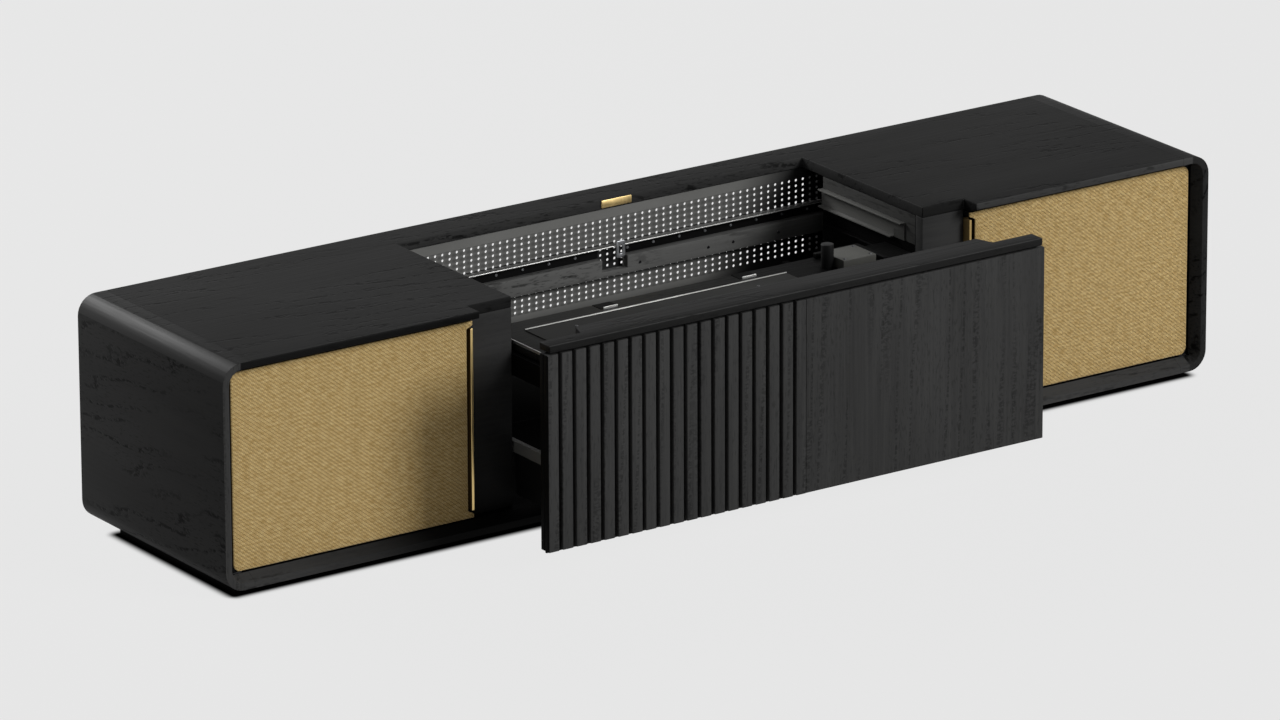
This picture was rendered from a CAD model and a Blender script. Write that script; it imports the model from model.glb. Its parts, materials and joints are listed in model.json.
"""Looks of a motorized projector cabinet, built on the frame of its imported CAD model.

Metres, +Z up, the floor at Z = 0, the front at -Y. The drawer stands slid out.
"""
import json
import random
from math import pi, radians, sqrt

import bmesh
import bpy
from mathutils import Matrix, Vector


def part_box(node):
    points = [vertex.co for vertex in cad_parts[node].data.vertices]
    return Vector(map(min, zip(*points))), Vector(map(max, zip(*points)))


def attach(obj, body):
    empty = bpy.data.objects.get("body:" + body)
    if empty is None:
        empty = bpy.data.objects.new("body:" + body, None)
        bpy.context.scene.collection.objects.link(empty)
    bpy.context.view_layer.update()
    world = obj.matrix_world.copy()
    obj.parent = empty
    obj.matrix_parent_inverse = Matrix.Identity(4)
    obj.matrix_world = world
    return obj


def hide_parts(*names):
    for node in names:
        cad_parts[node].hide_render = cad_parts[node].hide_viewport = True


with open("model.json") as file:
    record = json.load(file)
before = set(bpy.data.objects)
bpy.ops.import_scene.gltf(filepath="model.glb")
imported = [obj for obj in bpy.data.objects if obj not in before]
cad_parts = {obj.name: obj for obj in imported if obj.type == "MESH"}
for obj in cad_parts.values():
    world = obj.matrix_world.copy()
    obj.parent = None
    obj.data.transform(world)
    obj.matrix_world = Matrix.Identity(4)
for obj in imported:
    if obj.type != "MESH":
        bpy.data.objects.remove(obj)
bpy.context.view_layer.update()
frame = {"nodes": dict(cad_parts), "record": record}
scene = bpy.context.scene
scene.view_settings.view_transform = "Standard"


# Studio: a seamless pale floor, a long lens from the left front and above, a broad soft key light
# from the right front, and a strip light behind that draws the round edges. The floor keeps the shadow.
def linear(code):
    """A colour written as an sRGB hex value, as linear light."""
    parts = [int(code[i:i + 2], 16) / 255 for i in (1, 3, 5)]
    return (*[p / 12.92 if p <= 0.04045 else ((p + 0.055) / 1.055) ** 2.4 for p in parts], 1.0)


def fill(tree, node, inputs):
    """Set a node's inputs to values, or link them to sockets."""
    for key, value in dict(inputs).items():
        if isinstance(value, bpy.types.NodeSocket):
            tree.links.new(value, node.inputs[key])
        else:
            node.inputs[key].default_value = value


def put(tree, kind, inputs=(), **settings):
    """Add a node to a tree, with its settings and inputs."""
    made = tree.nodes.new(kind)
    for name, value in settings.items():
        setattr(made, name, value)
    fill(tree, made, inputs)
    return made


PALE = linear("#e6e6e6")
AMBIENT = 0.30
CONTACT_DARK = 0.006
CONTACT_REACH = 0.030
GLOW_SHARE = 0.985
FLOOR_R = 25.0
LENS_MM = 267.19
CAMERA_AT = (-9.48617, -13.78631, 5.78212)
CAMERA_TURN = (71.4682, 0.2170, -34.5214)
AIM_Z = 0.25
LAMPS = (
    ("key_light", (0.62, -1.0, 0.665), 18.0, 6.0, 6.0, 3100.0),
    ("edge_light", (-0.32, 0.78, 0.54), 5.0, 3.0, 0.7, 250.0),
)
lens = bpy.data.cameras.new("camera")
lens.lens = LENS_MM
lens.sensor_width = 36.0
lens.clip_end = 100.0
camera = bpy.data.objects.new("camera", lens)
camera.location = CAMERA_AT
camera.rotation_euler = [radians(turn) for turn in CAMERA_TURN]
scene.collection.objects.link(camera)
scene.camera = camera

world = bpy.data.worlds.new("studio")
world.use_nodes = True
scene.world = world
paper = bpy.data.materials.new("matt_paper_sweep")
paper.use_nodes = True
shown = []
for tree in (world.node_tree, paper.node_tree):
    path = put(tree, "ShaderNodeLightPath").outputs
    mirror = {0: path["Is Glossy Ray"], 1: path["Is Transmission Ray"]}
    mirrored = put(tree, "ShaderNodeMath", mirror).outputs[0]
    seen = {0: path["Is Camera Ray"], 1: mirrored}
    shown.append(put(tree, "ShaderNodeMath", seen, use_clamp=True).outputs[0])
tree = world.node_tree
dim = (AMBIENT, AMBIENT, AMBIENT, 1.0)
sky = put(tree, "ShaderNodeMix", {0: shown[0], 6: dim, 7: PALE}, data_type="RGBA").outputs[2]
tree.links.new(sky, tree.nodes["Background"].inputs["Color"])

# Matt paper: an even pale ground, black only where it meets the plinth.
tree = paper.node_tree
low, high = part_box("plinth_base")
place = put(tree, "ShaderNodeTexCoord").outputs["Object"]
shift = {0: place, 1: (low + high) / 2}
shifted = put(tree, "ShaderNodeVectorMath", shift, operation="SUBTRACT").outputs[0]
unsigned = put(tree, "ShaderNodeVectorMath", {0: shifted}, operation="ABSOLUTE").outputs[0]
past = {0: unsigned, 1: (high - low) / 2}
past_edge = put(tree, "ShaderNodeVectorMath", past, operation="SUBTRACT").outputs[0]
outside = put(tree, "ShaderNodeVectorMath", {0: past_edge}, operation="MAXIMUM").outputs[0]
away = put(tree, "ShaderNodeVectorMath", {0: outside}, operation="LENGTH").outputs["Value"]
reach = {"Value": away, 1: CONTACT_DARK, 2: CONTACT_REACH, 4: GLOW_SHARE}
clear = put(tree, "ShaderNodeMapRange", reach, interpolation_type="SMOOTHSTEP").outputs[0]
share = put(tree, "ShaderNodeMath", {0: shown[1], 1: clear}, operation="MULTIPLY").outputs[0]
deep = put(tree, "ShaderNodeMix", {0: clear, 6: linear("#0a0a0a"), 7: PALE}, data_type="RGBA").outputs[2]
matt = put(tree, "ShaderNodeBsdfDiffuse", {"Color": deep}).outputs[0]
glow = put(tree, "ShaderNodeEmission", {"Color": PALE, "Strength": 1.0}).outputs[0]
sweep = put(tree, "ShaderNodeMixShader", {0: share, 1: matt, 2: glow}).outputs[0]
tree.links.new(sweep, tree.nodes["Material Output"].inputs["Surface"])
floor_mesh = bpy.data.meshes.new("studio_floor")
corners = [(x * FLOOR_R, y * FLOOR_R, 0.0) for x, y in ((-1, -1), (1, -1), (1, 1), (-1, 1))]
floor_mesh.from_pydata(corners, [], [(0, 1, 2, 3)])
floor_mesh.materials.append(paper)
floor = bpy.data.objects.new("studio_floor", floor_mesh)
scene.collection.objects.link(floor)

for name, toward, distance, width, height, power in LAMPS:
    lamp = bpy.data.lights.new(name, "AREA")
    lamp.shape = "RECTANGLE"
    lamp.size = width
    lamp.size_y = height
    lamp.energy = power
    holder = bpy.data.objects.new(name, lamp)
    aim = Vector(toward).normalized()
    holder.location = aim * distance + Vector((0.0, 0.0, AIM_Z))
    holder.rotation_euler = aim.to_track_quat("Z", "Y").to_euler()
    scene.collection.objects.link(holder)


# Side panels: veneered board, bent round at its long edges into short returns that meet the top and
# the bottom without a visible seam. The front and back edges are lightly rounded.
SIDES = (("left", -1), ("right", 1))
HALF_W = 1.100
CORNER_R = 0.038
SEAM_X = 1.040
EDGE_R = 0.0018
PER_MM = 1000.0
MELT = 0.00001
FLAT = 0.95
LEANING = 0.3
MIDDLE_Z = 0.2
UNDER_Z = 0.72
ROUND_Z = (0.10, 0.985)
INSIDE_Z = (0.03, 0.43)
SEAM_PLAY = 0.001


def new_material(name):
    """An empty material with its tree and its shader, and the place of each point on a piece."""
    mat = bpy.data.materials.new(name)
    mat.use_nodes = True
    tree = mat.node_tree
    place = put(tree, "ShaderNodeTexCoord").outputs["Object"]
    return mat, tree, tree.nodes["Principled BSDF"], place


def black_oak(name, turn, tone, streak, fleck="#323231", stroke=1.0, run=0.17, breaks=52.0, shade=(),
              shine=0.036, bare=0.43):
    """Black stained oak veneer, wire brushed: a satin near-black ground, soft streaks along the grain,
    and the figure of flat-sawn oak, whose growth rings show as clusters of short wavy dark strokes. A
    real pore is 0.3 mm wide; a stroke is drawn about 3 mm wide so that it shows. A low run makes the
    rings straighter, breaks are the gaps in a stroke per metre, and bare is the share of the face without
    strokes. Each entry of shade is an axis, a place where the tone is as usual and one where it is black."""
    mat, tree, shader, place = new_material(name)
    along = put(tree, "ShaderNodeMapping", {"Vector": place, "Rotation": turn}).outputs[0]
    grain = {}
    # Features in a metre, along and across the grain: a fibre streak is 200 mm long and 5 mm wide.
    for part, stretch, low, high, detail in (
        ("board", (1.6, 11.0, 11.0), 0.36, 0.66, 3.0),
        ("fibre", (5.0, 190.0, 190.0), 0.30, 0.74, 3.0),
        ("patch", (2.4, 9.0, 9.0), bare, bare + 0.11, 2.0),
        ("broken", (breaks, 120.0, 120.0), 0.44, 0.57, 2.0),
        ("speck", (60.0, 330.0, 330.0), 0.57, 0.66, 2.0),
    ):
        way = put(tree, "ShaderNodeMapping", {"Vector": along, "Scale": stretch}).outputs[0]
        cloud = put(tree, "ShaderNodeTexNoise", {"Vector": way, "Scale": 1.0, "Detail": detail}).outputs[0]
        grain[part] = put(tree, "ShaderNodeMapRange", {"Value": cloud, 1: low, 2: high}).outputs[0]
    ring_way = put(tree, "ShaderNodeMapping", {"Vector": along, "Scale": (run, 1.0, 1.0)}).outputs[0]
    ring_set = {"Vector": ring_way, "Scale": 15.0, "Distortion": 9.0, "Detail": 2.0, "Detail Scale": 1.2}
    ring = put(tree, "ShaderNodeTexWave", ring_set, bands_direction="DIAGONAL").outputs[1]
    grain["ring"] = put(tree, "ShaderNodeMapRange", {"Value": ring, 1: 0.78, 2: 0.97}).outputs[0]
    shares = []
    for strength, first, *others in (
        (0.30, "fibre"),
        (0.25, "fibre"),
        (0.75 * stroke, "speck", "patch"),
        (min(1.0, stroke), "ring", "patch", "broken"),
    ):
        share = grain[first]
        for factor in [grain[part] for part in others] + [strength]:
            share = put(tree, "ShaderNodeMath", {0: share, 1: factor}, operation="MULTIPLY").outputs[0]
        shares.append(share)
    fibre, rise, pore, line = shares
    coats = [(grain["board"], streak), (fibre, fleck), (pore, "#060606"), (line, "#030303")]
    if shade:
        axes = put(tree, "ShaderNodeSeparateXYZ", {0: place}).outputs
        dusk = 1.0
        for axis, usual, black in shade:
            fade = {"Value": axes[axis], 1: usual, 2: black, 4: dusk}
            dusk = put(tree, "ShaderNodeMapRange", fade, interpolation_type="SMOOTHSTEP").outputs[0]
        coats.append((dusk, "#050505"))
    color = linear(tone)
    for share, over in coats:
        coat = {0: share, 6: color, 7: linear(over)}
        color = put(tree, "ShaderNodeMix", coat, data_type="RGBA").outputs[2]
    rough = put(tree, "ShaderNodeMapRange", {"Value": grain["fibre"], 3: 0.48, 4: 0.58}).outputs[0]
    depth = put(tree, "ShaderNodeMath", {0: rise, 1: line}, operation="SUBTRACT").outputs[0]
    relief = put(tree, "ShaderNodeBump", {"Height": depth, "Strength": 0.5, "Distance": 0.0012}).outputs[0]
    surface = {"Base Color": color, "Roughness": rough, "Normal": relief, "Specular IOR Level": shine}
    fill(tree, shader, surface)
    return mat


def finished(name, bm, smooth=35.0):
    """A piece from a bmesh, smooth across gentle angles."""
    mesh = bpy.data.meshes.new(name)
    bm.to_mesh(mesh)
    bm.free()
    mesh.shade_smooth()
    mesh.set_sharp_from_angle(angle=radians(smooth))
    piece = bpy.data.objects.new(name, mesh)
    scene.collection.objects.link(piece)
    return piece


def dress(piece, mat, slot, body, *nodes):
    """Give a piece its material, its slot, the body that it rides on and the solids that it stands for."""
    piece.data.materials.clear()
    piece.data.materials.append(mat)
    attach(piece, body)
    if nodes:
        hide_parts(*nodes)
    return piece


GRAIN_X = (0.0, 0.0, 0.0)
GRAIN_Y = (0.0, 0.0, -pi / 2)
GRAIN_Z = (0.0, pi / 2, 0.0)
OAK_TOP = black_oak("black_oak_along", GRAIN_X, "#131313", "#171717", "#222221", 0.9, 0.20, 70.0)
OAK_SIDE = black_oak("black_oak_across", GRAIN_Y, "#181818", "#1e1e1e", "#2a2a29", 1.0, 0.20, 60.0)
OAK_EDGE = black_oak("black_oak_round_edge", GRAIN_Y, "#161616", "#1a1a1a", "#242423", 0.1, shine=0.10)
OAK_UPRIGHT = black_oak("black_oak_upright", GRAIN_Z, "#272727", "#2e2e2e", "#3d3d3c", 0.36, 0.05, 230.0,
                        bare=0.30)
OAK_LIT = black_oak("black_oak_lit_rim", GRAIN_X, "#2a2a2a", "#333333", "#3c3c3b", 0.5)
OAK_SHADED = black_oak("black_oak_shaded_rim", GRAIN_X, "#0a0a0a", "#0e0e0e", "#121212", 0.5)


def eased(name, node, width, steps=2, spare=None):
    """A copy of a CAD solid, merged into whole faces, with its sharp edges rounded."""
    bm = bmesh.new()
    bm.from_mesh(frame["nodes"][node].data)
    bmesh.ops.remove_doubles(bm, verts=bm.verts, dist=MELT)
    bmesh.ops.dissolve_limit(bm, angle_limit=radians(1.0), verts=bm.verts, edges=bm.edges)
    sharp = [e for e in bm.edges if len(e.link_faces) == 2 and e.calc_face_angle() > radians(20)]
    if spare:
        sharp = [e for e in sharp if not spare(e)]
    bmesh.ops.bevel(bm, geom=sharp, offset=width, segments=steps, profile=0.5, affect="EDGES",
                    clamp_overlap=True)
    return finished(name, bm)


def at_seam(edge):
    """True for an edge that lies where the top or bottom meets a side panel."""
    return all(abs(abs(v.co.x) - SEAM_X) < SEAM_PLAY for v in edge.verts)


def faced(piece, rules):
    """Give faces other materials: each rule is a material and a test of a face's middle and normal."""
    for slot, (mat, fits) in enumerate(rules, len(piece.data.materials)):
        piece.data.materials.append(mat)
        for face in piece.data.polygons:
            if fits(face.center, face.normal):
                face.material_index = slot


def split(piece, spot, way):
    """Cut a piece's faces along a plane, without parting them, so that the sides can differ in finish."""
    bm = bmesh.new()
    bm.from_mesh(piece.data)
    bmesh.ops.bisect_plane(bm, geom=bm.verts[:] + bm.edges[:] + bm.faces[:], plane_co=spot, plane_no=way)
    bm.to_mesh(piece.data)
    bm.free()


def black_melamine(name, tone, pale, shine):
    """Black melamine-faced board: an even, slightly pebbled matt black. The pebbles, of about 0.3 mm, are
    drawn about 1 mm wide so that they show."""
    mat, tree, shader, place = new_material(name)
    pebbles = {"Vector": place, "Scale": 0.9 * PER_MM, "Detail": 2.0}
    grit = put(tree, "ShaderNodeTexNoise", pebbles).outputs[0]
    cloud = put(tree, "ShaderNodeTexNoise", {"Vector": place, "Scale": 14.0, "Detail": 3.0}).outputs[0]
    rub = put(tree, "ShaderNodeMapRange", {"Value": cloud, 1: 0.35, 2: 0.7, 3: 0.55, 4: 0.72}).outputs[0]
    mix = {0: cloud, 6: linear(tone), 7: linear(pale)}
    color = put(tree, "ShaderNodeMix", mix, data_type="RGBA").outputs[2]
    relief = put(tree, "ShaderNodeBump", {"Height": grit, "Strength": 0.2, "Distance": 0.0002}).outputs[0]
    surface = {"Base Color": color, "Roughness": rub, "Normal": relief, "Specular IOR Level": shine}
    fill(tree, shader, surface)
    return mat


INNER_FACE = black_melamine("black_inner_melamine", "#040404", "#070707", 0.02)
arc_x = HALF_W - CORNER_R
for word, side in SIDES:
    panel = eased(word + "_side", word + "_side_panel", EDGE_R, 3, at_seam)
    dress(panel, OAK_SIDE, "black_oak", "cabinet", word + "_side_panel")
    split(panel, (side * arc_x, 0.0, 0.0), (1.0, 0.0, 0.0))
    front_oak = OAK_UPRIGHT if side < 0 else OAK_SIDE
    return_oak = OAK_SHADED if side < 0 else OAK_LIT
    faced(panel, [
        (OAK_TOP, lambda at, way: abs(way.z) > UNDER_Z),
        (OAK_EDGE, lambda at, way: ROUND_Z[0] < way.z < ROUND_Z[1]),
        (front_oak, lambda at, way: way.y < -LEANING),
        (return_oak, lambda at, way: way.y < -LEANING and abs(at.x) < arc_x and at.z > MIDDLE_Z),
        (OAK_LIT, lambda at, way: way.y < -LEANING and abs(at.x) < arc_x and at.z < MIDDLE_Z),
        (INNER_FACE, lambda at, way: -side * way.x > FLAT
         or (abs(way.z) > FLAT and INSIDE_Z[0] < at.z < INSIDE_Z[1])),
    ])


# Top and bottom boards, the two stiles behind the drawer front and the bay walls: veneered board. The
# top has the well sawn out of it. All sharp edges are eased, but not at the seams with the sides.
DOOR_IN = 0.54
STEEP = 0.5
STILE_EASE = 0.001
BOARD_EASE = 0.0008
OAK_STRIP = black_oak("black_oak_well_edge", GRAIN_X, "#272727", "#2d2d2d", "#383837", 0.7, 0.20, 70.0)
OAK_DUSK = black_oak("black_oak_shaded_foot", GRAIN_X, "#2a2a2a", "#333333", "#3c3c3b", 0.4,
                     shade=((0, -1.02, -0.58), (0, 0.45, -0.40)))
OAK_STILE = black_oak("black_oak_stile", GRAIN_X, "#252525", "#2a2a2a", "#353534", 0.1,
                      shade=((2, 0.42, -0.16),))
OAK_WALL = black_oak("black_oak_bay_wall", GRAIN_Y, "#333332", "#3a3a39", "#424241", 0.3)
top = eased("top_board", "top_panel", EDGE_R, 3, at_seam)
dress(top, OAK_TOP, "black_oak", "cabinet", "top_panel")
faced(top, [
    (INNER_FACE, lambda at, way: way.z < -FLAT),
    (OAK_SHADED, lambda at, way: way.y < -STEEP and at.x < -DOOR_IN and at.y < 0),
    (OAK_LIT, lambda at, way: way.y < -STEEP and at.x > DOOR_IN and at.y < 0),
    (OAK_STRIP, lambda at, way: way.y < -STEEP and at.y > 0),
    (OAK_STRIP, lambda at, way: way.x < -STEEP and 0 < at.x < DOOR_IN and at.y > -0.15),
])
bottom = eased("bottom_board", "bottom_panel", EDGE_R, 3, at_seam)
dress(bottom, OAK_TOP, "black_oak", "cabinet", "bottom_panel")
faced(bottom, [
    (INNER_FACE, lambda at, way: way.z > FLAT),
    (OAK_DUSK, lambda at, way: at.y < -0.2 and (way.y < -LEANING or 0.05 < way.z < 0.9)),
])
for word, side in SIDES:
    stile = eased(word + "_stile", word + "_front_stile", STILE_EASE)
    dress(stile, OAK_STILE, "black_oak", "cabinet", word + "_front_stile")
    wall = eased(word + "_bay_wall", word + "_partition", BOARD_EASE)
    dress(wall, OAK_SIDE, "black_oak", "cabinet", word + "_partition")
    veneer_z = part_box(word + "_guide_rail")[0].z
    split(wall, (0.0, 0.0, veneer_z), (0.0, 0.0, 1.0))
    faced(wall, [
        (INNER_FACE, lambda at, way: abs(way.x) > FLAT),
        (OAK_WALL, lambda at, way: -side * way.x > FLAT and at.z > veneer_z),
    ])


# Plinth: one board of black melamine, cut out twice and set back below the cabinet, so that it seems to
# float. It is screwed to the bottom from below.
dress(eased("plinth", "plinth_base", BOARD_EASE), INNER_FACE, "black_board", "cabinet", "plinth_base")


# Back of the cabinet: thin black back panels behind the doors' compartments, and the cheeks that close
# the sides of the open middle. They are screwed on.
MELAMINE = black_melamine("black_melamine_board", "#0b0b0b", "#111111", 0.08)
for word, side in SIDES:
    for piece, node in (("_cheek", "_rear_cheek"), ("_back", "_back_panel")):
        board = eased(word + piece, word + node, BOARD_EASE)
        dress(board, MELAMINE, "black_board", "cabinet", word + node)


# Vent plate: one sheet of steel, punched with rows of round holes and powder coated grey. It stands
# across the back of the well, and the room shows through its holes. The coat is darker to the right, low
# down, behind the crossbar and round the holes, where less light falls.
HOLE_R = 0.0028
HOLE_ACROSS = 65
HOLE_DOWN = 14
HOLE_PITCH_X = 0.016
HOLE_PITCH_Z = 0.011
HOLE_TOP_Z = 0.397
RIM_X = 0.0012
RIM_Z = -0.0009
RIM_NEAR = 0.26
RIM_FAR = 0.78
SLANT_DARK = 0.235
SLANT_LIT = 0.08
LOW_DARK = 0.208
LOW_LIT = 0.258
FIELD_TOP = 0.004
FIELD_FOOT = 0.005
FIELD_FADE = 0.001


def coated_steel(name, tone, pale, rough, shine=0.5):
    """Powder-coated sheet steel: an even semi-matt film with the fine orange peel of the baked powder,
    whose bumps of 0.5 to 1 mm are drawn about 1.4 mm wide so that they show."""
    mat, tree, shader, place = new_material(name)
    bumps = {"Vector": place, "Scale": 0.7 * PER_MM, "Detail": 2.0}
    peel = put(tree, "ShaderNodeTexNoise", bumps).outputs[0]
    cloud = put(tree, "ShaderNodeTexNoise", {"Vector": place, "Scale": 9.0, "Detail": 4.0}).outputs[0]
    mix = {0: cloud, 6: linear(tone), 7: linear(pale)}
    color = put(tree, "ShaderNodeMix", mix, data_type="RGBA").outputs[2]
    rub = {"Value": cloud, 1: 0.3, 2: 0.7, 3: rough - 0.06, 4: rough + 0.06}
    rubbed = put(tree, "ShaderNodeMapRange", rub).outputs[0]
    relief = put(tree, "ShaderNodeBump", {"Height": peel, "Strength": 0.15, "Distance": 0.0003}).outputs[0]
    surface = {"Base Color": color, "Roughness": rubbed, "Normal": relief, "Specular IOR Level": shine}
    fill(tree, shader, surface)
    return mat


def new_tree(name, sockets):
    """An empty Geometry Nodes tree with named inputs, and its input and output nodes."""
    tree = bpy.data.node_groups.new(name, "GeometryNodeTree")
    for label, kind in [("Geometry", "Geometry"), *sockets]:
        tree.interface.new_socket(name=label, in_out="INPUT", socket_type="NodeSocket" + kind)
    tree.interface.new_socket(name="Geometry", in_out="OUTPUT", socket_type="NodeSocketGeometry")
    return tree, put(tree, "NodeGroupInput").outputs, put(tree, "NodeGroupOutput").inputs


def grown(name, tree, values, mesh=None):
    """Run a Geometry Nodes tree with its inputs set, and keep the result as a plain mesh."""
    piece = bpy.data.objects.new(name, mesh or bpy.data.meshes.new(name))
    scene.collection.objects.link(piece)
    step = piece.modifiers.new("grow", "NODES")
    step.node_group = tree
    for item in tree.interface.items_tree:
        if item.in_out == "INPUT" and item.name in values:
            step[item.identifier] = values[item.name]
    depsgraph = bpy.context.evaluated_depsgraph_get()
    mesh = bpy.data.meshes.new_from_object(piece.evaluated_get(depsgraph))
    piece.modifiers.remove(step)
    piece.data = mesh
    mesh.shade_smooth()
    mesh.set_sharp_from_angle(angle=radians(35))
    return piece


GREY_COAT = coated_steel("grey_powder_coat", "#414140", "#4b4b49", 0.48)
PLATE_COAT = coated_steel("grey_plate_coat", "#5a5a58", "#666664", 0.48, 0.4)
tree = PLATE_COAT.node_tree
shader = tree.nodes["Principled BSDF"]
place = put(tree, "ShaderNodeTexCoord").outputs["Object"]
level = put(tree, "ShaderNodeSeparateXYZ", {0: place}).outputs[2]
slope = {0: place, 1: (1.0, 0.0, -0.5)}
slant = put(tree, "ShaderNodeVectorMath", slope, operation="DOT_PRODUCT").outputs["Value"]
field_w = (HOLE_ACROSS - 1) * HOLE_PITCH_X
field_h = (HOLE_DOWN - 1) * HOLE_PITCH_Z
cell = (1 / HOLE_PITCH_X, 0.0, 1 / HOLE_PITCH_Z)
first = ((field_w / 2 - RIM_X) * cell[0] + 0.5, 0.5, (RIM_Z - HOLE_TOP_Z) * cell[2] + 0.5)
by_hole = put(tree, "ShaderNodeMapping", {"Vector": place, "Location": first, "Scale": cell}).outputs[0]
nearest = {"Vector": by_hole, "Scale": 1.0, "Randomness": 0.0}
near = put(tree, "ShaderNodeTexVoronoi", nearest).outputs["Distance"]
clear = put(tree, "ShaderNodeMapRange", {"Value": near, 1: RIM_NEAR, 2: RIM_FAR}).outputs[0]
above = HOLE_TOP_Z + FIELD_TOP
below = HOLE_TOP_Z - field_h - FIELD_FOOT
for start, end in ((above, above + FIELD_FADE), (below, below - FIELD_FADE)):
    margin = put(tree, "ShaderNodeMapRange", {"Value": level, 1: start, 2: end}).outputs[0]
    clear = put(tree, "ShaderNodeMath", {0: clear, 1: margin}, operation="MAXIMUM").outputs[0]
coat = shader.inputs["Base Color"].links[0].from_socket
lit = []
for value, dark, light in ((slant, SLANT_DARK, SLANT_LIT), (level, LOW_DARK, LOW_LIT)):
    soft = {"Value": value, 1: dark, 2: light}
    lit.append(put(tree, "ShaderNodeMapRange", soft, interpolation_type="SMOOTHSTEP").outputs[0])
for share, dark in ((lit[0], "#030303"), (lit[1], "#030303"), (clear, "#0c0c0c")):
    coat = put(tree, "ShaderNodeMix", {0: share, 6: linear(dark), 7: coat}, data_type="RGBA").outputs[2]
bar_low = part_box("vent_batten")[0].z
bar_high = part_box("vent_angle")[1].z + 0.002
from_bar = {0: level, 1: (bar_low + bar_high) / 2, 2: (bar_high - bar_low) / 2}
covered = put(tree, "ShaderNodeMath", from_bar, operation="COMPARE").outputs[0]
behind = {0: covered, 6: coat, 7: linear("#030303")}
coat = put(tree, "ShaderNodeMix", behind, data_type="RGBA").outputs[2]
tree.links.new(coat, shader.inputs["Base Color"])
low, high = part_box("vent_plate")
inputs = [("Width", "Float"), ("Height", "Float"), ("Thickness", "Float"), ("Hole Radius", "Float")]
inputs += [("Columns", "Int"), ("Rows", "Int"), ("Field Width", "Float"), ("Field Height", "Float")]
inputs += [("Field Middle", "Vector"), ("Middle", "Vector"), ("Finish", "Material")]
tree, given, result = new_tree("perforated_plate", inputs)
outline = {"Width": given["Width"], "Height": given["Height"]}
rim = put(tree, "GeometryNodeCurvePrimitiveQuadrilateral", outline)
rows = {"Size X": given["Field Width"], "Size Y": given["Field Height"]}
rows |= {"Vertices X": given["Columns"], "Vertices Y": given["Rows"]}
grid = put(tree, "GeometryNodeMeshGrid", rows).outputs[0]
spots = put(tree, "GeometryNodeMeshToPoints", {0: grid}).outputs[0]
punch = {"Resolution": 10, "Radius": given["Hole Radius"]}
hole = put(tree, "GeometryNodeCurvePrimitiveCircle", punch).outputs[0]
holes = put(tree, "GeometryNodeInstanceOnPoints", {"Points": spots, "Instance": hole}).outputs[0]
moved = put(tree, "GeometryNodeTransform", {0: holes, "Translation": given["Field Middle"]}).outputs[0]
loops = put(tree, "GeometryNodeRealizeInstances", {0: moved}).outputs[0]
lines = put(tree, "GeometryNodeJoinGeometry")
tree.links.new(loops, lines.inputs[0])
tree.links.new(rim.outputs[0], lines.inputs[0])
blank = put(tree, "GeometryNodeFillCurve", {0: lines.outputs[0]}).outputs[0]
back = put(tree, "GeometryNodeFlipFaces", {0: blank}).outputs[0]
front = {0: blank, "Offset Scale": given["Thickness"], "Individual": False}
pressed = put(tree, "GeometryNodeExtrudeMesh", front).outputs[0]
both = put(tree, "GeometryNodeJoinGeometry")
tree.links.new(pressed, both.inputs[0])
tree.links.new(back, both.inputs[0])
closed = put(tree, "GeometryNodeMergeByDistance", {0: both.outputs[0], "Distance": MELT}).outputs[0]
stand = {0: closed, "Translation": given["Middle"], "Rotation": (pi / 2, 0.0, 0.0)}
stood = put(tree, "GeometryNodeTransform", stand).outputs[0]
whole = put(tree, "GeometryNodeRealizeInstances", {0: stood}).outputs[0]
coated = put(tree, "GeometryNodeSetMaterial", {0: whole, "Material": given["Finish"]}).outputs[0]
tree.links.new(coated, result[0])
middle_z = (low.z + high.z) / 2
values = {"Width": high.x - low.x, "Height": high.z - low.z, "Thickness": high.y - low.y}
values |= {"Hole Radius": HOLE_R, "Columns": HOLE_ACROSS, "Rows": HOLE_DOWN}
values |= {"Field Width": field_w, "Field Height": field_h}
values |= {"Field Middle": (0.0, HOLE_TOP_Z - field_h / 2 - middle_z, 0.0)}
values |= {"Middle": (0.0, high.y, middle_z), "Finish": PLATE_COAT}
plate = grown("perforated_plate", tree, values)
dress(plate, PLATE_COAT, "grey_steel", "cabinet", "vent_plate")
faced(plate, [
    (GREY_COAT, lambda at, way: way.y > STEEP),
    (INNER_FACE, lambda at, way: abs(way.y) < STEEP),
])


# Crossbar in front of the plate: a wooden batten with a cable window sawn in it, a black angle with a
# bright ledge screwed above it, and a steel cable clip on the ledge.
def plain_metal(name, tone, rough, along, grit_mm=1.2):
    """Bare or plated metal: clean and reflecting, with drawing lines one way, drawn wider than real."""
    mat, tree, shader, place = new_material(name)
    fine = PER_MM / grit_mm
    stretch = [fine * (0.03 if i == along else 1.0) for i in range(3)]
    way = put(tree, "ShaderNodeMapping", {"Vector": place, "Scale": stretch}).outputs[0]
    line = put(tree, "ShaderNodeTexNoise", {"Vector": way, "Scale": 1.0, "Detail": 2.0}).outputs[0]
    rub = {"Value": line, 1: 0.3, 2: 0.7, 3: rough - 0.07, 4: rough + 0.07}
    rubbed = put(tree, "ShaderNodeMapRange", rub).outputs[0]
    dull = [0.72 * c for c in linear(tone)[:3]] + [1.0]
    cloud = put(tree, "ShaderNodeTexNoise", {"Vector": place, "Scale": 25.0, "Detail": 3.0}).outputs[0]
    mix = {0: cloud, 6: dull, 7: linear(tone)}
    color = put(tree, "ShaderNodeMix", mix, data_type="RGBA").outputs[2]
    relief = put(tree, "ShaderNodeBump", {"Height": line, "Strength": 0.12, "Distance": 0.0001}).outputs[0]
    fill(tree, shader, {"Base Color": color, "Roughness": rubbed, "Normal": relief, "Metallic": 1.0})
    return mat


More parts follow.
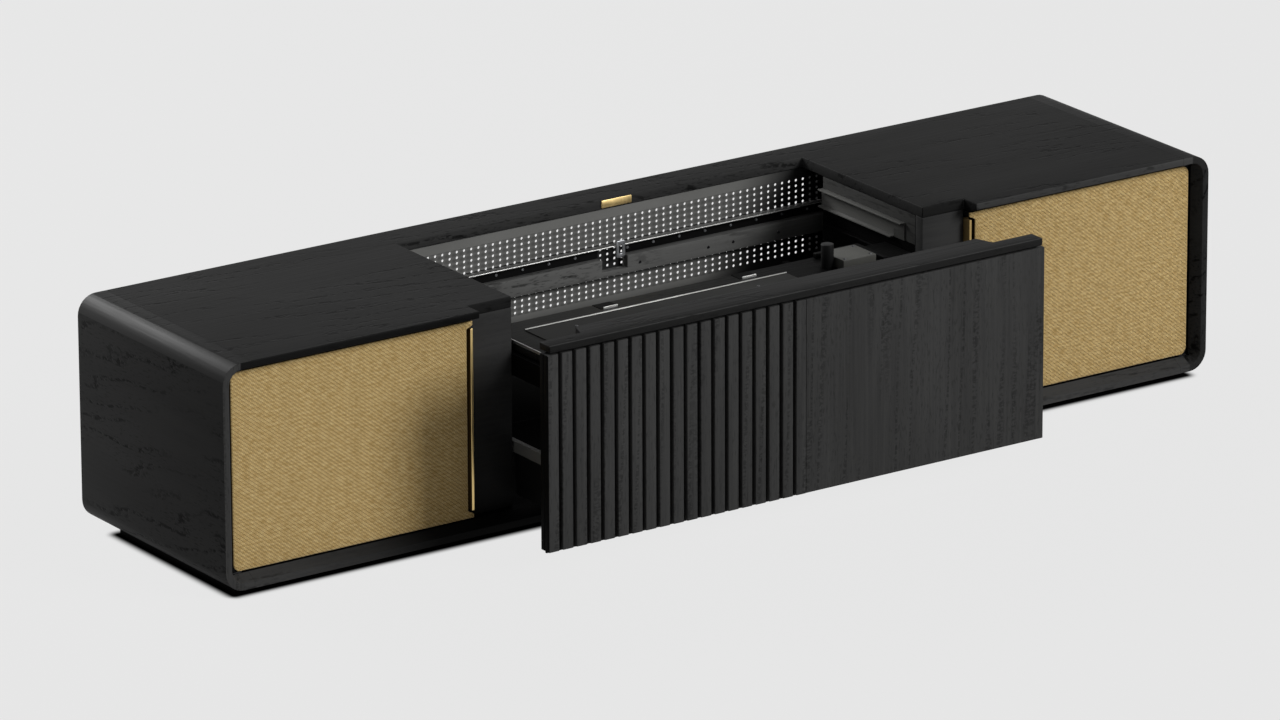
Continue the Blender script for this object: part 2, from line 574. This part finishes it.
OAK_GREY = black_oak("grey_oak_batten", GRAIN_X, "#454544", "#545453", "#60605f", 0.6)
ALUMINIUM = plain_metal("drawn_aluminium", "#dededc", 0.42, 0)
ZINC = plain_metal("zinc_plated_steel", "#b6b8bb", 0.34, 1)
BLACK_COAT = coated_steel("black_powder_coat", "#070707", "#0b0b0b", 0.5, 0.12)
LEDGE_T = 0.003
SHEET_EASE = 0.0004
FOLD_EASE = 0.0005
FRAME_EASE = 0.0012
dress(eased("crossbar_batten", "vent_batten", FRAME_EASE), OAK_GREY, "black_oak", "cabinet", "vent_batten")
angle = eased("crossbar_angle", "vent_angle", SHEET_EASE)
dress(angle, BLACK_COAT, "aluminium", "cabinet", "vent_angle")
ledge_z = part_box("vent_angle")[1].z - LEDGE_T
faced(angle, [
    (GREY_COAT, lambda at, way: way.z > FLAT),
    (ALUMINIUM, lambda at, way: at.z > ledge_z and way.y < -0.2),
])
dress(eased("clip", "cable_clip", FOLD_EASE), ZINC, "grey_steel", "cabinet", "cable_clip")


# Bare plate on the front of the rear strip of the top: a small brass plate with round corners, stamped
# from sheet, brushed upright and glued on.
BRASS = plain_metal("brushed_brass", "#f3d594", 0.40, 2)
dress(eased("brass_plate", "badge_plate", SHEET_EASE), BRASS, "brass", "cabinet", "badge_plate")


# Runners on the bay walls: grey guide rails above, telescopic slides beside the tray, zinc channels for
# the lower arms, and the rack on its two brackets. All are folded or drawn steel, the rack is moulded.
def moulded_plastic(name, tone, rough, shine=0.25):
    """Injection-moulded ABS: a fine spark-eroded texture with a soft even gloss. Its grit, of about 0.1 mm,
    is drawn about 0.8 mm wide so that it shows."""
    mat, tree, shader, place = new_material(name)
    sparks = {"Vector": place, "Scale": 1.2 * PER_MM, "Detail": 1.0}
    grit = put(tree, "ShaderNodeTexNoise", sparks).outputs[0]
    cloud = put(tree, "ShaderNodeTexNoise", {"Vector": place, "Scale": 30.0, "Detail": 3.0}).outputs[0]
    lift = [min(1.0, 1.25 * c + 0.002) for c in linear(tone)[:3]] + [1.0]
    mix = {0: cloud, 6: linear(tone), 7: lift}
    color = put(tree, "ShaderNodeMix", mix, data_type="RGBA").outputs[2]
    rub = {"Value": cloud, 1: 0.3, 2: 0.7, 3: rough - 0.05, 4: rough + 0.05}
    rubbed = put(tree, "ShaderNodeMapRange", rub).outputs[0]
    relief = put(tree, "ShaderNodeBump", {"Height": grit, "Strength": 0.2, "Distance": 0.0002}).outputs[0]
    surface = {"Base Color": color, "Roughness": rubbed, "Normal": relief, "Specular IOR Level": shine}
    fill(tree, shader, surface)
    return mat


BLACK_ABS = moulded_plastic("black_abs", "#070707", 0.5, 0.10)
RAIL_COAT = coated_steel("grey_rail_coat", "#464644", "#4e4e4c", 0.5, 0.3)
SLIDE_COAT = coated_steel("black_slide_coat", "#030303", "#050505", 0.5, 0.03)
SLIDE_EASE = 0.0003
TOOTH_EASE = 0.0002
rides = {node: body for body, nodes in frame["record"]["behaviour"]["bodies"].items() for node in nodes}
for word, side in SIDES:
    guide = eased(word + "_guide", word + "_guide_rail", FOLD_EASE)
    dress(guide, RAIL_COAT, "grey_steel", "cabinet", word + "_guide_rail")
    for part in ("outer", "middle", "inner"):
        node = f"{word}_slide_{part}"
        member = eased(node + "_member", node, SLIDE_EASE)
        dress(member, SLIDE_COAT, "black_steel", rides[node], node)
    node = word + "_arm_channel"
    dress(eased(word + "_channel", node, SHEET_EASE), ZINC, "zinc_steel", "cabinet", node)
for word in ("front", "back"):
    node = word + "_rack_bracket"
    dress(eased(word + "_rack_holder", node, BOARD_EASE), ZINC, "zinc_steel", "cabinet", node)
dress(eased("rack", "drive_rack", TOOTH_EASE, 1), BLACK_ABS, "black_plastic", "cabinet", "drive_rack")


# Control box of the drive on the bay floor, and the mains inlet in the right back panel: both are
# moulded from black plastic, with round edges.
case = eased("control_case", "control_box", 0.003, 3)
dress(case, BLACK_ABS, "black_plastic", "cabinet", "control_box")
dress(eased("mains_inlet", "power_inlet", FOLD_EASE), BLACK_ABS, "black_plastic", "cabinet", "power_inlet")


# Doors: a black frame with gold cloth stretched over its front, a brass pull strip in a groove at the
# inner edge, and pivot plates of plated steel above and below the outer edge.
def woven_cloth(name):
    """Speaker cloth, a coarse twill of twisted yarn: gold floats in diagonal ribs with dark gaps, quite
    matt. Its slubs are about 17 mm long. The twist of the yarn, of about 0.3 mm, is drawn about 1 mm long
    so that it shows."""
    mat, tree, shader, place = new_material(name)
    yarn = put(tree, "ShaderNodeAttribute", attribute_name="yarn").outputs["Fac"]
    slub_way = put(tree, "ShaderNodeMapping", {"Vector": place, "Scale": (60.0, 60.0, 240.0)}).outputs[0]
    slub = put(tree, "ShaderNodeTexNoise", {"Vector": slub_way, "Scale": 1.0, "Detail": 3.0}).outputs[0]
    twists = {"Vector": place, "Scale": 0.9 * PER_MM, "Detail": 2.0}
    twist = put(tree, "ShaderNodeTexNoise", twists).outputs[0]
    tint = put(tree, "ShaderNodeMapRange", {"Value": slub, 1: 0.35, 2: 0.68}).outputs[0]
    float_mix = {0: tint, 6: linear("#ac8f58"), 7: linear("#cbb27c")}
    top = put(tree, "ShaderNodeMix", float_mix, data_type="RGBA").outputs[2]
    yarn_mix = {0: yarn, 6: linear("#3c2d10"), 7: top}
    color = put(tree, "ShaderNodeMix", yarn_mix, data_type="RGBA").outputs[2]
    relief = put(tree, "ShaderNodeBump", {"Height": twist, "Strength": 0.25, "Distance": 0.0003}).outputs[0]
    surface = {"Base Color": color, "Roughness": 0.85, "Normal": relief, "Specular IOR Level": 0.2}
    fill(tree, shader, surface | {"Sheen Weight": 0.15})
    return mat


GOLD_CLOTH = woven_cloth("gold_woven_cloth")
DULL_BRASS = plain_metal("dull_brass", "#9a8458", 0.60, 2)
BROWN_GROOVE = moulded_plastic("brown_groove_lacquer", "#3c2c12", 0.6, 0.1)
BLACK_ZINC = plain_metal("black_zinc_steel", "#3a3a3c", 0.35, 1)
YARN_X = 0.00308
YARN_Z = 0.00247
TWILL = 3
CLOTH_R = 0.015
TAB_H = 0.008
TAB_SLOPE = 0.006
PULL_W = 0.013
RELIEF = 0.00045
ROLL = 0.0018
CROSSING_Y = RELIEF + 0.0002
FLOAT_Y = 0.0001
UNDER_Y = FLOAT_Y + 0.7 * RELIEF
CROSSING = 0.45
UNDER = 0.25
TONE_SPREAD = 0.10
SLUB = {"left": 0.06, "right": 0.34}
LIP_W = 0.0046
LIP_D = 0.002
chance = random.Random(7)


def weave_spot(i, j, columns, rows, inner, outer, low_z, high_z):
    """Where a place in the weave, in yarns from the inner lower corner, lies on a door: the cloth follows
    the recess of the pull at its inner edge and the round corners at its outer edge."""
    x = inner + (outer - inner) * i / columns
    z = low_z + (high_z - low_z) * j / rows
    up = min(z - low_z, high_z - z)
    notch = min(1.0, max(0.0, (up - TAB_H) / TAB_SLOPE)) * PULL_W
    fold = inner + 2 * PULL_W
    if x < fold:
        x = fold - (fold - x) * (2 * PULL_W - notch) / (2 * PULL_W)
    bend = outer - 2 * CLOTH_R
    if x > bend and up < CLOTH_R:
        reach = CLOTH_R - sqrt(max(0.0, CLOTH_R ** 2 - (CLOTH_R - up) ** 2))
        x = bend + (x - bend) * (2 * CLOTH_R - reach) / (2 * CLOTH_R)
    return x, z


for word, side in SIDES:
    low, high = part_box(word + "_door_cloth")
    inner = min(abs(low.x), abs(high.x))
    outer = max(abs(low.x), abs(high.x))
    columns = round((outer - inner) / YARN_X)
    rows = round((high.z - low.z) / YARN_Z)
    field = (columns, rows, inner, outer, low.z, high.z)
    tones = [chance.uniform(-TONE_SPREAD, TONE_SPREAD) for _ in range(columns + rows)]
    slub = SLUB[word]
    verts, shade, faces = [], [], []
    for j in range(rows + 1):
        for i in range(columns + 1):
            x, z = weave_spot(i, j, *field)
            edge = i in (0, columns) or j in (0, rows)
            verts.append((side * x, low.y + (ROLL if edge else CROSSING_Y), z))
            shade.append(CROSSING)
    first = len(verts)
    for j in range(rows):
        for i in range(columns):
            x, z = weave_spot(i + 0.5, j + 0.5, *field)
            over = (j + side * i) % TWILL != 0
            verts.append((side * x, low.y + (FLOAT_Y if over else UNDER_Y), z))
            tone = 1.0 + tones[i] if over else UNDER + tones[columns + j]
            shade.append(tone + chance.uniform(-slub, slub))
            a = j * (columns + 1) + i
            ring = (a, a + 1, a + columns + 2, a + columns + 1)
            c = first + j * columns + i
            faces += [(ring[k], ring[(k + 1) % 4], c) for k in range(4)]
    bm = bmesh.new()
    mesh = bpy.data.meshes.new("weave")
    mesh.from_pydata(verts, [], faces)
    mesh.attributes.new("yarn", "FLOAT", "POINT").data.foreach_set("value", shade)
    bm.from_mesh(mesh)
    bmesh.ops.remove_doubles(bm, verts=bm.verts, dist=2 * MELT)
    hem = [e for e in bm.edges if e.is_boundary]
    turned = {}
    for vert in [v for e in hem for v in e.verts]:
        if vert not in turned:
            turned[vert] = bm.verts.new((vert.co.x, high.y, vert.co.z), vert)
    for a, b in [e.verts for e in hem]:
        bm.faces.new((a, b, turned[b], turned[a]))
    bmesh.ops.contextual_create(bm, geom=[e for e in bm.edges if e.is_boundary])
    bmesh.ops.recalc_face_normals(bm, faces=bm.faces)
    cloth = finished(word + "_cloth", bm, 75.0)
    dress(cloth, GOLD_CLOTH, "gold_cloth", word + "_door", word + "_door_cloth")
    board = eased(word + "_door_frame_board", word + "_door_frame", FRAME_EASE)
    dress(board, MELAMINE, "black_board", word + "_door", word + "_door_frame")
    strip = eased(word + "_pull_strip", word + "_door_pull", 0.0006, 3)
    dress(strip, BRASS if side < 0 else DULL_BRASS, "brass", word + "_door", word + "_door_pull")
    low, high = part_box(word + "_door_pull")
    lip_x = min(abs(low.x), abs(high.x)) + LIP_W
    if side < 0:
        faced(strip, [(BROWN_GROOVE, lambda at, way: abs(at.x) > lip_x and at.y > low.y + LIP_D)])
    for level in ("top", "bottom"):
        node = f"{word}_{level}_pivot_plate"
        pivot = eased(f"{word}_{level}_pivot", node, TOOTH_EASE, 1)
        dress(pivot, BLACK_ZINC, "zinc_steel", "cabinet", node)


# Drawer front: a black board with upright oak slats glued on its left half, a plain oak face on its
# right half, and an oak cap on top that fills the front of the well when the drawer is shut.
SLAT_PITCH = 0.0302
SLAT_W = 0.0227
SLAT_COUNT = 18
END_SLAT_W = 0.0215
SLAT_D = 0.0137
SLAT_ROUND = 0.0016
SLAT_CHAMFER = 0.0008
SLAT_TAPER = 0.93
BACKING_T = 0.0046
BACKING_DROP = 0.003
BACKING_TOP = 0.001
BACKING_END = 0.0005
OAK_CAP_TOP = black_oak("black_oak_cap_top", GRAIN_X, "#0b0b0b", "#0e0e0e", "#161615", 0.7)
OAK_CAP = black_oak("black_oak_cap_front", GRAIN_X, "#131313", "#171717", "#1e1e1d", 0.3)


def bar(name, start, end, edge, steps=2):
    """A small bar between two corners, with round edges."""
    bm = bmesh.new()
    bmesh.ops.create_cube(bm, size=1.0)
    bmesh.ops.scale(bm, vec=Vector(end) - Vector(start), verts=bm.verts)
    bmesh.ops.translate(bm, vec=(Vector(start) + Vector(end)) / 2, verts=bm.verts)
    bmesh.ops.bevel(bm, geom=bm.edges, offset=edge, segments=steps, affect="EDGES")
    return finished(name, bm)


low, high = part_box("slatted_face")
inputs = [("Count", "Int"), ("Pitch", "Float"), ("Width", "Float"), ("Depth", "Float")]
inputs += [("Height", "Float"), ("Rounding", "Float"), ("Chamfer", "Float"), ("Foot", "Vector")]
inputs += [("Finish", "Material")]
tree, given, result = new_tree("slats", inputs)
outline = {"Width": given["Width"], "Height": given["Depth"]}
plan = put(tree, "GeometryNodeCurvePrimitiveQuadrilateral", outline)
soft = {0: plan.outputs[0], "Radius": given["Rounding"], "Count": 3, "Limit Radius": True}
lathe = put(tree, "GeometryNodeFilletCurve", soft, mode="POLY").outputs[0]
sole = put(tree, "GeometryNodeFillCurve", {0: lathe}, mode="NGONS").outputs[0]
bottom = put(tree, "GeometryNodeFlipFaces", {0: sole}).outputs[0]
heights = {0: given["Height"], 1: given["Chamfer"]}
body_h = put(tree, "ShaderNodeMath", heights, operation="SUBTRACT").outputs[0]
stem = {0: sole, "Offset Scale": body_h, "Individual": False}
shaft = put(tree, "GeometryNodeExtrudeMesh", stem).outputs
tip = {0: shaft[0], "Selection": shaft[1], "Offset Scale": given["Chamfer"], "Individual": False}
tipped = put(tree, "GeometryNodeExtrudeMesh", tip).outputs
tip_set = {0: tipped[0], "Selection": tipped[1], "Scale": SLAT_TAPER}
taper = put(tree, "GeometryNodeScaleElements", tip_set).outputs[0]
both = put(tree, "GeometryNodeJoinGeometry")
tree.links.new(taper, both.inputs[0])
tree.links.new(bottom, both.inputs[0])
slat = put(tree, "GeometryNodeMergeByDistance", {0: both.outputs[0], "Distance": MELT}).outputs[0]
stride = put(tree, "ShaderNodeCombineXYZ", {0: given["Pitch"]}).outputs[0]
row = {"Count": given["Count"], "Start Location": given["Foot"], "Offset": stride}
feet = put(tree, "GeometryNodeMeshLine", row).outputs[0]
copies = put(tree, "GeometryNodeInstanceOnPoints", {"Points": feet, "Instance": slat}).outputs[0]
whole = put(tree, "GeometryNodeRealizeInstances", {0: copies}).outputs[0]
oiled = put(tree, "GeometryNodeSetMaterial", {0: whole, "Material": given["Finish"]}).outputs[0]
tree.links.new(oiled, result[0])
foot_y = low.y + SLAT_D / 2
values = {"Count": SLAT_COUNT, "Pitch": SLAT_PITCH, "Width": SLAT_W, "Depth": SLAT_D}
values |= {"Height": high.z - low.z, "Rounding": SLAT_ROUND, "Chamfer": SLAT_CHAMFER}
values |= {"Foot": (low.x + SLAT_W / 2, foot_y, low.z), "Finish": OAK_UPRIGHT}
slats = grown("front_slats", tree, values)
dress(slats, OAK_UPRIGHT, "black_oak", "drawer", "slatted_face")
faced(slats, [(INNER_FACE, lambda at, way: way.x < -0.7 and at.x < low.x + 0.003)])
values |= {"Count": 1, "Width": END_SLAT_W, "Foot": (high.x - END_SLAT_W / 2, foot_y, low.z)}
dress(grown("end_slat", tree, values), OAK_UPRIGHT, "black_oak", "drawer")
backing_foot = (low.x + BACKING_END, high.y - BACKING_T, low.z - BACKING_DROP)
backing_head = (high.x - BACKING_END, high.y, high.z - BACKING_TOP)
backing = bar("slat_backing", backing_foot, backing_head, 0.0003, 1)
dress(backing, MELAMINE, "black_board", "drawer")
board = eased("front_board", "drawer_front_board", 0.001)
dress(board, MELAMINE, "black_board", "drawer", "drawer_front_board")
faced(board, [(INNER_FACE, lambda at, way: abs(way.x) > LEANING)])
dress(eased("plain_front", "plain_face", FRAME_EASE, 3), OAK_UPRIGHT, "black_oak", "drawer", "plain_face")
cap = eased("front_cap", "front_cap_rail", 0.0025, 3)
dress(cap, OAK_CAP_TOP, "black_oak", "drawer", "front_cap_rail")
faced(cap, [
    (OAK_CAP, lambda at, way: way.y < -0.9),
    (OAK_LIT, lambda at, way: -0.9 < way.y < -0.2 and way.z > 0.2),
])


# Tray: a black oak board with thin aluminium trim on its left edge, on two rails with steel arms below.
# Black moulded inlays with a bright lip fill the cable notches in its back edge, and a platform of folded
# steel for the projector is screwed on it.
OAK_TRAY = black_oak("black_oak_tray", GRAIN_X, "#131312", "#171716", "#1f1f1e", 0.4,
                     shade=((0, -0.08, 0.20),), shine=0.024)
ARM_COAT = coated_steel("dark_arm_coat", "#0b0b0b", "#101010", 0.5, 0.1)
PLATFORM_COAT = coated_steel("dark_grey_platform_coat", "#121211", "#171716", 0.5, 0.06)
DULL_ALUMINIUM = plain_metal("dull_aluminium", "#767674", 0.5, 0)
ARM_BAR_H = 0.0222
SEAT_T = 0.002
LIP_LOW = 0.35
TRIM_W = 0.0016
TRIM_H = 0.006
TRIM_END = 0.001
TRIM_OUT = 0.0002
TRIM_UP = 0.0004
NOTCH_X = (-0.197, 0.113)
NOTCH_W = 0.040
NOTCH_D = 0.030
INLAY_PLAY = 0.0003
INLAY_T = 0.006
INLAY_UP = 0.0006
LIP_START = (0.006, -0.0004, -0.001)
LIP_END = (-0.002, 0.0016, 0.0034)
tray = eased("tray_board", "projector_tray", BOARD_EASE)
dress(tray, OAK_TRAY, "black_oak", "drawer", "projector_tray")
low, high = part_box("projector_tray")
trim_x = low.x - TRIM_OUT
trim_z = high.z + TRIM_UP
trim_foot = (trim_x, low.y + TRIM_END, trim_z - TRIM_H)
trim = bar("left_tray_trim", trim_foot, (trim_x + TRIM_W, high.y - TRIM_END, trim_z), 0.0004)
dress(trim, ALUMINIUM, "aluminium", "drawer")
for word, notch_x in (("left", NOTCH_X[0]), ("right", NOTCH_X[1])):
    west = notch_x - NOTCH_W / 2 + INLAY_PLAY
    east = notch_x + NOTCH_W / 2 - INLAY_PLAY
    south = high.y - NOTCH_D + INLAY_PLAY
    inlay_foot = (west, south, high.z - INLAY_T)
    inlay = bar(word + "_notch_inlay", inlay_foot, (east, high.y, high.z + INLAY_UP), 0.0005)
    dress(inlay, INNER_FACE, "black_plastic", "drawer")
    lip_foot = (west + LIP_START[0], south + LIP_START[1], high.z + LIP_START[2])
    lip_head = (east + LIP_END[0], south + LIP_END[1], high.z + LIP_END[2])
    lip = bar(word + "_notch_lip", lip_foot, lip_head, 0.0004)
    dress(lip, ALUMINIUM, "aluminium", "drawer")
for word, side in SIDES:
    node = word + "_tray_rail"
    dress(eased(word + "_tray_runner", node, 0.001), INNER_FACE, "black_board", "drawer", node)
    node = word + "_lower_arm"
    arm = dress(eased(word + "_arm", node, 0.0006), ARM_COAT, "zinc_steel", "drawer", node)
    bar_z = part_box(node)[1].z - ARM_BAR_H
    faced(arm, [(RAIL_COAT, lambda at, way: at.z > bar_z)])
tie = eased("cross_bar", "lower_cross_bar", 0.001, 3)
dress(tie, ALUMINIUM, "aluminium", "drawer", "lower_cross_bar")
platform = eased("platform", "projector_platform", FOLD_EASE)
dress(platform, PLATFORM_COAT, "grey_steel", "drawer", "projector_platform")
seat_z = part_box("projector_platform")[0].z + SEAT_T
for vert in platform.data.vertices:
    if vert.co.z > seat_z:
        vert.co.z = seat_z + LIP_LOW * (vert.co.z - seat_z)
faced(platform, [(DULL_ALUMINIUM, lambda at, way: at.z > seat_z + 0.0003)])


# Drive on the right of the tray: a black motor on a grey moulded gearbox, a bent steel guard round it,
# and the moulded pinion on the gearbox's shaft below the tray.
GREY_ABS = moulded_plastic("grey_abs", "#32322f", 0.5)
dress(eased("gearbox", "drive_gearbox", 0.002, 3), GREY_ABS, "grey_plastic", "drawer", "drive_gearbox")
dress(eased("motor", "drive_motor", 0.001, 2), BLACK_ABS, "black_plastic", "drawer", "drive_motor")
dress(eased("guard", "drive_guard", FRAME_EASE, 3), SLIDE_COAT, "black_steel", "drawer", "drive_guard")
wheel = eased("pinion_wheel", "drive_pinion", TOOTH_EASE, 1)
dress(wheel, BLACK_ABS, "black_plastic", "pinion", "drive_pinion")


# Screws: pan heads with a cross recess, zinc plated or blackened, wherever sheet metal and boards are
# fixed. The screws of a set share a finish and a body.
HEAD_H = 0.45
DOME = 0.78
CROSS_W = 0.72
CROSS_WAIST = 0.34
CROSS_D = -0.65
inputs = [("Head Radius", "Float"), ("Head Height", "Float"), ("Finish", "Material")]
tree, given, result = new_tree("screw_heads", inputs)
round_head = {"Vertices": 12, "Radius": given["Head Radius"]}
disc = put(tree, "GeometryNodeMeshCircle", round_head, fill_type="NGON").outputs[0]
sole = put(tree, "GeometryNodeFlipFaces", {0: disc}).outputs[0]
rise = {0: disc, "Offset Scale": given["Head Height"], "Individual": False}
head = put(tree, "GeometryNodeExtrudeMesh", rise).outputs
crown = {0: head[0], "Selection": head[1], "Scale": DOME}
dome = put(tree, "GeometryNodeScaleElements", crown).outputs[0]
inset = {0: dome, "Selection": head[1], "Offset Scale": 0.0, "Individual": False}
lip = put(tree, "GeometryNodeExtrudeMesh", inset).outputs
flat_set = {0: lip[0], "Selection": lip[1], "Scale": CROSS_W}
flat = put(tree, "GeometryNodeScaleElements", flat_set).outputs[0]
where = put(tree, "GeometryNodeInputPosition").outputs[0]
axes = put(tree, "ShaderNodeSeparateXYZ", {0: where}).outputs
angle = put(tree, "ShaderNodeMath", {0: axes[1], 1: axes[0]}, operation="ARCTAN2").outputs[0]
four = put(tree, "ShaderNodeMath", {0: angle, 1: 4.0}, operation="MULTIPLY").outputs[0]
wave = put(tree, "ShaderNodeMath", {0: four}, operation="COSINE").outputs[0]
arm = put(tree, "ShaderNodeMapRange", {"Value": wave, 1: -0.5, 2: 1.0, 3: CROSS_WAIST}).outputs[0]
spread = put(tree, "ShaderNodeCombineXYZ", {0: arm, 1: arm, 2: 1.0}).outputs[0]
drawn = put(tree, "ShaderNodeVectorMath", {0: where, 1: spread}, operation="MULTIPLY").outputs[0]
star = put(tree, "GeometryNodeSetPosition", {0: flat, "Selection": lip[1], "Position": drawn}).outputs[0]
deep = {0: given["Head Height"], 1: CROSS_D}
sink = put(tree, "ShaderNodeMath", deep, operation="MULTIPLY").outputs[0]
bit = {0: star, "Selection": lip[1], "Offset Scale": sink, "Individual": False}
cross = put(tree, "GeometryNodeExtrudeMesh", bit).outputs[0]
both = put(tree, "GeometryNodeJoinGeometry")
tree.links.new(cross, both.inputs[0])
tree.links.new(sole, both.inputs[0])
screw = put(tree, "GeometryNodeMergeByDistance", {0: both.outputs[0], "Distance": MELT}).outputs[0]
label = {"Name": "facing"}
facing = put(tree, "GeometryNodeInputNamedAttribute", label, data_type="FLOAT_VECTOR").outputs[0]
turn = put(tree, "FunctionNodeAlignRotationToVector", {"Vector": facing}, axis="Z").outputs[0]
points = put(tree, "GeometryNodeMeshToPoints", {0: given["Geometry"]}).outputs[0]
driven = {"Points": points, "Instance": screw, "Rotation": turn}
copies = put(tree, "GeometryNodeInstanceOnPoints", driven).outputs[0]
whole = put(tree, "GeometryNodeRealizeInstances", {0: copies}).outputs[0]
plated = put(tree, "GeometryNodeSetMaterial", {0: whole, "Material": given["Finish"]}).outputs[0]
tree.links.new(plated, result[0])


def screws(name, mat, slot, body, radius, spots):
    """A set of screw heads on one body: each spot is a place on a face and the way that face looks."""
    mesh = bpy.data.meshes.new(name)
    mesh.from_pydata([place for place, way in spots], [], [])
    ways = [value for place, way in spots for value in way]
    mesh.attributes.new("facing", "FLOAT_VECTOR", "POINT").data.foreach_set("vector", ways)
    values = {"Head Radius": radius, "Head Height": HEAD_H * radius, "Finish": mat}
    dress(grown(name, tree, values, mesh), mat, slot, body)


FRONT = (0.0, -1.0, 0.0)
BACK = (0.0, 1.0, 0.0)
UP = (0.0, 0.0, 1.0)
ANGLE_SCREWS = 17
ANGLE_FIRST_X = -0.472
ANGLE_PITCH = 0.059
ANGLE_Z = 0.010
ANGLE_T = 0.0022
WINDOW = (-0.012, 0.053)
BATTEN_Z = 0.017
BATTEN_X = (-0.42, -0.25, 0.077, 0.233, 0.290, 0.394)
PANEL_INSET = 0.012
SEAT_INSET = 0.089
SEAT_FRONT = 0.040
SEAT_BACK = 0.037
GEARBOX_INSET = 0.008
low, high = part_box("vent_angle")
leg_y = high.y - ANGLE_T
across = [ANGLE_FIRST_X + ANGLE_PITCH * i for i in range(ANGLE_SCREWS)]
spots = [((x, leg_y, low.z + ANGLE_Z), FRONT) for x in across if not WINDOW[0] < x < WINDOW[1]]
screws("crossbar_screws", ZINC, "zinc_steel", "cabinet", 0.0032, spots)
low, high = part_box("vent_batten")
spots = [((x, low.y, low.z + BATTEN_Z), FRONT) for x in BATTEN_X]
screws("batten_screws", BLACK_ZINC, "black_steel", "cabinet", 0.0030, spots)
spots = []
for word, side in SIDES:
    low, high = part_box(word + "_back_panel")
    inner, outer = sorted((abs(low.x), abs(high.x)))
    ends = (inner + PANEL_INSET, outer - PANEL_INSET)
    for x in (ends[0], (inner + outer) / 2, ends[1]):
        spots += [((side * x, high.y, z), BACK) for z in (low.z + PANEL_INSET, high.z - PANEL_INSET)]
    spots += [((side * x, high.y, (low.z + high.z) / 2), BACK) for x in ends]
screws("cabinet_screws", BLACK_ZINC, "black_steel", "cabinet", 0.0034, spots)
low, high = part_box("projector_platform")
across = (low.x + SEAT_INSET, high.x - SEAT_INSET)
deep = (low.y + SEAT_FRONT, high.y - SEAT_BACK)
spots = [((x, y, low.z + SEAT_T), UP) for x in across for y in deep]
low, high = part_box("drive_gearbox")
across = (low.x + GEARBOX_INSET, high.x - GEARBOX_INSET)
deep = (low.y + GEARBOX_INSET, high.y - GEARBOX_INSET)
spots += [((x, y, high.z), UP) for x in across for y in deep]
screws("drawer_screws", BLACK_ZINC, "zinc_steel", "drawer", 0.0034, spots)
